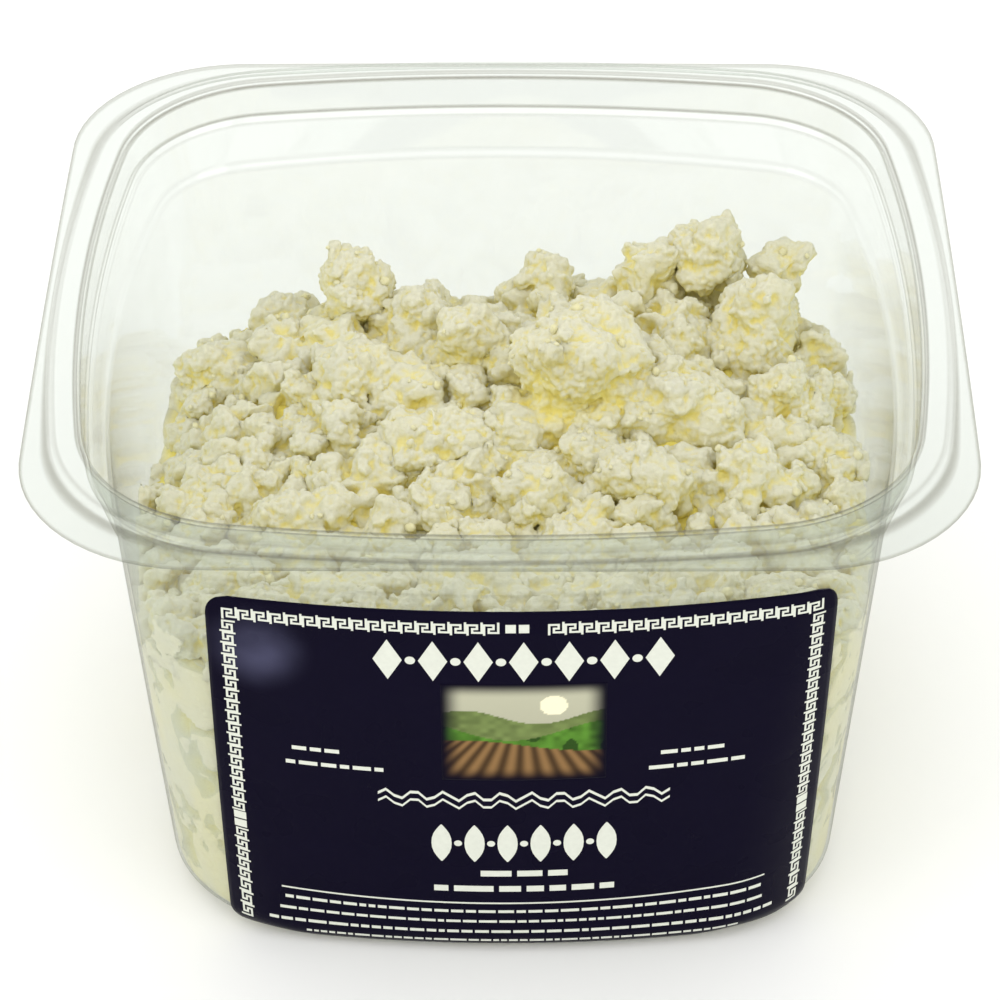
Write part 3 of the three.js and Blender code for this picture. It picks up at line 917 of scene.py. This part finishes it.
def wall_point(distance, height, lift, sheet):
    """Points on the tub's front: distance round the wall, height, and lift off the sheet, in
    millimetres. Past the foot the label's ends stand straight out as small flaps."""
    rows = bend_section(0.5, sheet)
    rising = rows[:, 3]
    last = int(np.argmax(rising > STATIONS[WALL_TOP][3] - 1))
    half, bow, corner = (np.interp(height, rising[:last], rows[:last, k]) for k in range(3))
    slope = np.gradient(rows[:last, 0], rising[:last])
    lean = np.interp(height, rising[:last], slope)
    foot = STATIONS[WALL_FOOT]
    fall = (STATIONS[WALL_TOP][0] - foot[0]) / (STATIONS[WALL_TOP][3] - foot[3])
    straight = foot[0] + sheet / MM / 2 + (height - foot[3]) * fall
    flap = np.where(height < foot[3], smooth_step(34, 44, np.abs(distance)), 0)
    grow = (straight - half) * flap
    length = np.sqrt(1 + lean ** 2)
    out = lift / length + grow
    half, bow, corner = half + out, bow + out, corner + out
    reach, centre, side_angle = arcs_of(half, bow, corner)
    side = np.sign(distance)
    past = np.abs(distance) - bow * side_angle
    angle = np.where(past <= 0, np.abs(distance) / bow, side_angle + past / corner)
    x = np.where(past <= 0, bow * np.sin(angle), centre + corner * np.sin(angle))
    y = np.where(past <= 0, reach - bow * np.cos(angle), -centre - corner * np.cos(angle))
    return np.stack([side * x, y, height - lift * lean / length], axis=1)


def wrap_on_wall(mesh, context, lift):
    """Bends a flat drawing in millimetres onto the front wall: x runs round the wall, y down
    from the label's top as a negative number, and z off the sheet."""
    label = context.scene.label_settings
    flat = read_points(mesh)
    down = -flat[:, 1]
    # A flat sheet on a tapering wall climbs towards its ends, the more the further down.
    climb = 0.0012 * (flat[:, 0] + 1) ** 2 * np.clip(down / 59, 0, 1)
    full = label.height / MM
    climb *= np.clip((full - down) / 9, 0.25, 1)
    height = label.top / MM - down + climb
    points = wall_point(flat[:, 0], height, flat[:, 2] + lift, context.scene.tub_settings.sheet)
    write_points(mesh, points * MM)


def make_solid(mesh, thickness):
    """Gives a flat sheet its thickness, upwards from zero."""
    shape = bmesh.new()
    shape.from_mesh(mesh)
    bmesh.ops.solidify(shape, geom=shape.faces, thickness=thickness)
    low = min(vertex.co.z for vertex in shape.verts)
    bmesh.ops.translate(shape, vec=(0, 0, -low), verts=shape.verts)
    bmesh.ops.recalc_face_normals(shape, faces=shape.faces)
    shape.to_mesh(mesh)
    shape.free()


class MakeLabelSheet(bpy.types.Operator):
    """Makes the label's paper, wrapped round the front wall and down over the foot"""

    bl_idname = "mesh.make_label_sheet"
    bl_label = "Label paper"

    def execute(self, context):
        label = context.scene.label_settings
        left, right, corner = label.left / MM, label.right / MM, label.corner / MM
        full = label.height / MM

        def place(across, up):
            down = (1 - up) * full
            to_end = np.minimum(np.minimum(down, full - down), corner)
            inset = corner - np.sqrt(corner ** 2 - (corner - to_end) ** 2)
            x = left + inset + across * (right - left - 2 * inset)
            return np.stack([x, -down, 0 * x], axis=1)

        mesh = bent_grid("label_sheet", 120, 138, place, False)
        make_solid(mesh, label.thickness / MM)
        wrap_on_wall(mesh, context, label.gap / MM)
        paper = made_material("coated_paper_varnished", coated_paper, label)
        piece = show_piece("label_sheet", mesh, paper)
        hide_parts("label")
        return {"FINISHED"}


def add_bar(shape, left, right, down, height, wave=0.0, pitch=1.0):
    """A flat printed bar, cut into short faces so that it can bend, and waved if asked."""
    steps = max(1, math.ceil((right - left) / 1.2))
    place = Matrix.Translation(((left + right) / 2, -down - height / 2, 0))
    size = Matrix.Diagonal(((right - left) / 2, height / 2, 1, 1))
    made = bmesh.ops.create_grid(shape, x_segments=steps, y_segments=1, size=1, matrix=place @ size)
    for vertex in made["verts"]:
        vertex.co.y += wave * math.sin(math.tau * (vertex.co.x - left) / pitch)


def add_words(shape, draw, left, right, down, height):
    """A line of bars as long as words, with gaps between them."""
    start = left
    while start < right - height:
        end = min(start + height * draw.uniform(1.6, 5.5), right)
        add_bar(shape, start, end, down, height)
        start = end + height * 0.7


def add_spot(shape, x, down, half_width, half_height, sides, turn=0.0):
    """A flat round, lozenge or leaf: a many-sided figure with its own width and height."""
    place = Matrix.Translation((x, -down, 0)) @ Matrix.Rotation(turn, 4, "Z")
    size = Matrix.Diagonal((half_width, half_height, 1, 1))
    bmesh.ops.create_circle(shape, cap_ends=True, segments=sides, radius=1, matrix=place @ size)


def add_leaf(shape, x, down, half_width, half_height):
    """A pointed upright leaf, drawn as a round whose ends are pinched."""
    made = bmesh.ops.create_circle(shape, cap_ends=True, segments=24, radius=1)
    for vertex in made["verts"]:
        pinch = 1 - 0.7 * abs(vertex.co.y) ** 3
        vertex.co = (x + vertex.co.x * half_width * pinch, vertex.co.y * half_height - down, 0)


def add_key_run(shape, left, down, units, cell, upright):
    """A run of key units along the top, or down a side when upright, as inked cells of a grid."""
    across, tall = units * 7, 7
    made = bmesh.ops.create_grid(shape, x_segments=across, y_segments=tall, size=1)
    verts = made["verts"]
    faces = {face for vertex in verts for face in vertex.link_faces}
    spare = []
    for face in faces:
        middle = face.calc_center_median()
        column = int((middle.x + 1) / 2 * across)
        row = int((1 - middle.y) / 2 * tall)
        if KEY_UNIT[row][column % 7] == ".":
            spare.append(face)
    long, short = across * cell, tall * cell
    for vertex in verts:
        x, y = (vertex.co.x + 1) / 2 * long, (1 - vertex.co.y) / 2 * short
        if upright:
            vertex.co = (left + y, -down - x, 0)
        else:
            vertex.co = (left + x, -down - y, 0)
    if upright:
        bmesh.ops.reverse_faces(shape, faces=list(faces))
    bmesh.ops.delete(shape, geom=spare, context="FACES")


class MakeLabelPrint(bpy.types.Operator):
    """Makes the label's pale ornaments, bars and key border"""

    bl_idname = "mesh.make_label_print"
    bl_label = "Label print"

    def execute(self, context):
        label = context.scene.label_settings
        draw = random.Random(7)
        left, right = label.left / MM, label.right / MM
        middle = (left + right) / 2
        shape = bmesh.new()
        cell = 0.335
        unit = 7 * cell
        top_down, side_in = 1.75, 2.0
        squares_down, square = 44.2, 1.55
        # The top border runs in two halves with a pair of squares between them.
        top_units = int((middle - 1.8 - (left + side_in + 0.3)) / unit)
        add_key_run(shape, left + side_in + 0.4, top_down, top_units, cell, False)
        add_key_run(shape, right - side_in - 0.4 - top_units * unit, top_down, top_units, cell, False)
        for side in (-1, 1):
            add_spot(shape, middle - 0.9 + side * 0.95, top_down + 1.15, 1.05, 1.05, 4, math.pi / 4)
        for start in (left + side_in, right - side_in - unit):
            upper = int((squares_down - top_down - unit) / unit)
            add_key_run(shape, start, squares_down - upper * unit, upper, cell, True)
            for step in (0, 1):
                down = squares_down + 0.2 + step * (square + 0.3)
                add_bar(shape, start + 0.2, start + unit - 0.2, down, square)
            lower = int((label.height / MM - squares_down - 2 * square - 1.2) / unit)
            add_key_run(shape, start, squares_down + 2 * square + 0.8, lower, cell, True)
        # A row of lozenges and dots runs across the upper part.
        for step in range(7):
            x = middle + (step - 3) * 6.5
            add_spot(shape, x, 9.3, 2.1, 3.9, 4)
            if step < 6:
                add_spot(shape, x + 3.25, 9.3, 0.75, 0.75, 16)
        for down, height in ((36.3, 0.55), (37.9, 0.45)):
            add_bar(shape, middle - 21.5, middle + 21.5, down, height, wave=0.9, pitch=4.3)
        # A row of upright leaves and dots runs below the waves.
        for step in range(6):
            x = middle + (step - 2.5) * 4.9
            add_leaf(shape, x, 46.4, 1.5, 3.9)
            if step < 5:
                add_spot(shape, x + 2.45, 46.4, 0.6, 0.6, 16)
        # Short bars lie in lines like small print.
        for low, high, down in SIDE_PRINT:
            add_words(shape, draw, low, high, down, 0.75)
        for reach, down, height in MIDDLE_PRINT:
            add_words(shape, draw, middle - reach, middle + reach, down, height)
        add_bar(shape, left + 9, right - 9, 59.1, 0.3)
        for inset, down, height in FOOT_PRINT:
            add_words(shape, draw, left + inset, right - inset, down, height)
        bmesh.ops.solidify(shape, geom=shape.faces, thickness=label.ink / MM)
        bmesh.ops.recalc_face_normals(shape, faces=shape.faces)
        mesh = mesh_from(shape, "label_print")
        wrap_on_wall(mesh, context, (label.gap + label.thickness + label.ink) / MM)
        ink = made_material("offset_ink_pale", offset_ink, label)
        show_piece("label_print", mesh, ink, False)
        return {"FINISHED"}


def landscape_colours(x, y, navy):
    """A plain view of hills in linear colours: x and y run from 0 to 1 across and up."""
    spots = np.stack([x * 8, y * 8, 0 * x], axis=1)
    speckle = soft_noise(spots, 0.35, 51)
    near = y < 0.52 + 0.1 * np.sin(x * 5 + 2.6)
    trees = near & (soft_noise(spots, 0.9, 52) > 0.66)
    furrow = 0.55 + 0.45 * np.sin((x - 0.5) / (0.45 - 0.5 * y) * 22)
    earth = np.outer(furrow, linear("8A6A44")) + np.outer(1 - furrow, linear("3B2B1C"))
    colours = np.outer(0.75 + 0.25 * y, linear("B9B8A0"))
    # From the back to the front: sun, far hills, near hills, trees and field.
    for inside, colour in (
        (np.hypot((x - 0.68) * 1.2, y - 0.78) < 0.1, linear("F1EBC9")),
        (y < 0.66 + 0.07 * np.sin(x * 7 + 0.6), np.outer(0.7 + 0.5 * speckle, linear("6F7F4A"))),
        (near, np.outer(0.6 + 0.8 * speckle, linear("4F7A2C"))),
        (trees, linear("2E4A1C")),
        (y < 0.36 + 0.06 * np.sin(x * 4 + 1), earth),
    ):
        colours = np.where(inside[:, None], colour, colours)
    fading = 0.14
    fade = np.prod([smooth_step(0, fading, away) for away in (x, 1 - x, y, 1 - y)], axis=0)[:, None]
    return colours * fade + np.array(navy) * (1 - fade)


class MakeLabelPicture(bpy.types.Operator):
    """Makes the small picture on the label, a plain view of hills with soft edges"""

    bl_idname = "mesh.make_label_picture"
    bl_label = "Label picture"

    def execute(self, context):
        label = context.scene.label_settings
        middle = (label.left + label.right) / 2 / MM
        width, height, down = 24.0, 19.4, 13.7

        def place(across, up):
            x = middle + (across - 0.5) * width
            return np.stack([x, -down - (1 - up) * height, 0 * x], axis=1)

        mesh = bent_grid("label_picture", 96, 78, place, False)
        make_solid(mesh, 0.5 * label.ink / MM)
        flat = read_points(mesh)
        across, up = (flat[:, 0] - middle) / width + 0.5, 1 + (flat[:, 1] + down) / height
        colours = landscape_colours(across, up, label.navy)
        attribute = mesh.attributes.new("picture", "FLOAT_COLOR", "POINT")
        attribute.data.foreach_set("color", np.hstack([colours, np.ones((len(colours), 1))]).ravel())
        wrap_on_wall(mesh, context, (label.gap + label.thickness + 0.2 * label.ink) / MM)
        ink = made_material("offset_ink_picture", picture_ink)
        show_piece("label_picture", mesh, ink)
        return {"FINISHED"}


class MakeLooseCrumbs(bpy.types.Operator):
    """Scatters small loose crumbs over the heap"""

    bl_idname = "mesh.make_loose_crumbs"
    bl_label = "Loose crumbs"

    def execute(self, context):
        rows = bend_section(-0.5, context.scene.tub_settings.sheet)
        graph = context.evaluated_depsgraph_get()
        trees = [BVHTree.FromObject(bpy.data.objects[name], graph) for name, _, _ in BANDS]
        draw = random.Random(33)
        crumb, faces = ball(2)
        crumbs = []
        tries = 240
        for _ in range(tries):
            x, y = draw.uniform(-57, 57), draw.uniform(-57, 57)
            hits = [tree.ray_cast(Vector((x * MM, y * MM, 0.12)), Vector((0, 0, -1)))[0] for tree in trees]
            tops = [hit.z / MM for hit in hits if hit is not None]
            radius = 0.5 + 0.7 * draw.random() ** 2.2
            sizes = [radius * draw.uniform(0.6, 1) for _ in range(3)]
            rough = np.array([draw.uniform(0.82, 1.12) for _ in range(len(crumb))])
            if not tops or past_wall(np.array([[x, y, max(tops)]]), rows)[0][0] > -radius:
                continue
            crumbs.append((crumb * rough[:, None] * sizes + (x, y, max(tops) + radius * 0.05)) * MM)
        mesh = joined_copies("loose_crumbs", faces, crumbs)
        # A fixed share of the crevice colour all over, as the crumbs' own tone, with no painted shade.
        write_attribute(mesh, "hollow", np.full(len(mesh.vertices), 0.16))
        show_piece("loose_crumbs", mesh, bpy.data.materials["brined_curd_crumbled"])
        return {"FINISHED"}


# Square lamps: name, place and breadth in metres, and power in watts.
LAMPS = (
    ("lamp_top", (-0.12, -0.7, 1.05), 1.5, 3.4),
    ("lamp_left", (-0.95, -0.55, 0.75), 0.8, 2.0),
    ("lamp_right", (0.95, -0.7, 0.65), 0.8, 1.8),
)
LAMP_AIM = Vector((0, 0, 0.05))


def add_lamp(name, place, breadth, power):
    lamp = bpy.data.lights.new(name, "AREA")
    lamp.size = breadth
    lamp.energy = power
    holder = bpy.data.objects.new(name, lamp)
    bpy.context.scene.collection.objects.link(holder)
    holder.location = place
    holder.rotation_euler = (LAMP_AIM - Vector(place)).to_track_quat("-Z", "Y").to_euler()


class MakeStage(bpy.types.Operator):
    """Makes the floor, the soft studio light and the camera"""

    bl_idname = "scene.make_cheese_stage"
    bl_label = "Stage"

    def execute(self, context):
        stage = context.scene.stage_settings
        shape = bmesh.new()
        bmesh.ops.create_grid(shape, x_segments=8, y_segments=8, size=stage.floor / 2)
        bmesh.ops.translate(shape, vec=(0, 0, -0.2 * MM), verts=shape.verts)
        mesh = mesh_from(shape, "floor")
        mesh.materials.append(made_material("painted_board_matt", matt_floor, stage))
        floor = bpy.data.objects.new("floor", mesh)
        context.scene.collection.objects.link(floor)
        for name, place, breadth, power in LAMPS:
            add_lamp(name, place, breadth, power)
        world = bpy.data.worlds.new("studio")
        context.scene.world = world
        world.use_nodes = True
        background = world.node_tree.nodes["Background"]
        background.inputs["Color"].default_value = (1, 1, 1, 1)
        background.inputs["Strength"].default_value = 1.1
        context.scene.view_settings.view_transform = "Standard"
        lens = bpy.data.cameras.new("camera")
        lens.lens = stage.lens
        lens.sensor_width = 36
        lens.clip_start, lens.clip_end = 0.01, 20
        camera = bpy.data.objects.new("camera", lens)
        context.scene.collection.objects.link(camera)
        level = math.cos(stage.elevation)
        back = Vector((
            math.sin(stage.azimuth) * level, -math.cos(stage.azimuth) * level, math.sin(stage.elevation)
        ))
        camera.rotation_mode = "QUATERNION"
        camera.location = Vector((-stage.aim_left, 0, stage.aim)) + back * stage.distance
        turned = (-back).to_track_quat("-Z", "Y").to_matrix() @ Matrix.Rotation(stage.roll, 3, "Z")
        camera.rotation_quaternion = turned.to_quaternion()
        context.scene.camera = camera
        return {"FINISHED"}


STEPS = (
    MakeTubShell, MakeHeapCore, MakeLumps, MakeLooseCrumbs, MakeLabelSheet, MakeLabelPrint,
    MakeLabelPicture, MakeStage,
)


class CheeseTubPanel(bpy.types.Panel):
    """Lists the steps that make the tub of cheese"""

    bl_idname = "VIEW3D_PT_cheese_tub"
    bl_label = "Cheese tub"
    bl_space_type = "VIEW_3D"
    bl_region_type = "UI"
    bl_category = "Cheese tub"

    def draw(self, context):
        for step in STEPS:
            self.layout.operator(step.bl_idname)
        for settings in SETTINGS:
            group = getattr(context.scene, settings)
            for name in group.bl_rna.properties.keys():
                if name not in ("rna_type", "name"):
                    self.layout.prop(group, name)


SETTINGS = {
    "tub_settings": TubSettings,
    "cheese_settings": CheeseSettings,
    "label_settings": LabelSettings,
    "stage_settings": StageSettings,
}


def register():
    for kind in (*SETTINGS.values(), *STEPS, CheeseTubPanel):
        bpy.utils.register_class(kind)
    for name, kind in SETTINGS.items():
        setattr(bpy.types.Scene, name, bpy.props.PointerProperty(type=kind))


def unregister():
    for name in SETTINGS:
        delattr(bpy.types.Scene, name)
    for kind in (CheeseTubPanel, *STEPS, *SETTINGS.values()):
        bpy.utils.unregister_class(kind)


def main():
    register()
    for step in STEPS:
        group, name = step.bl_idname.split(".")
        getattr(getattr(bpy.ops, group), name)()


if __name__ == "__main__":
    main()
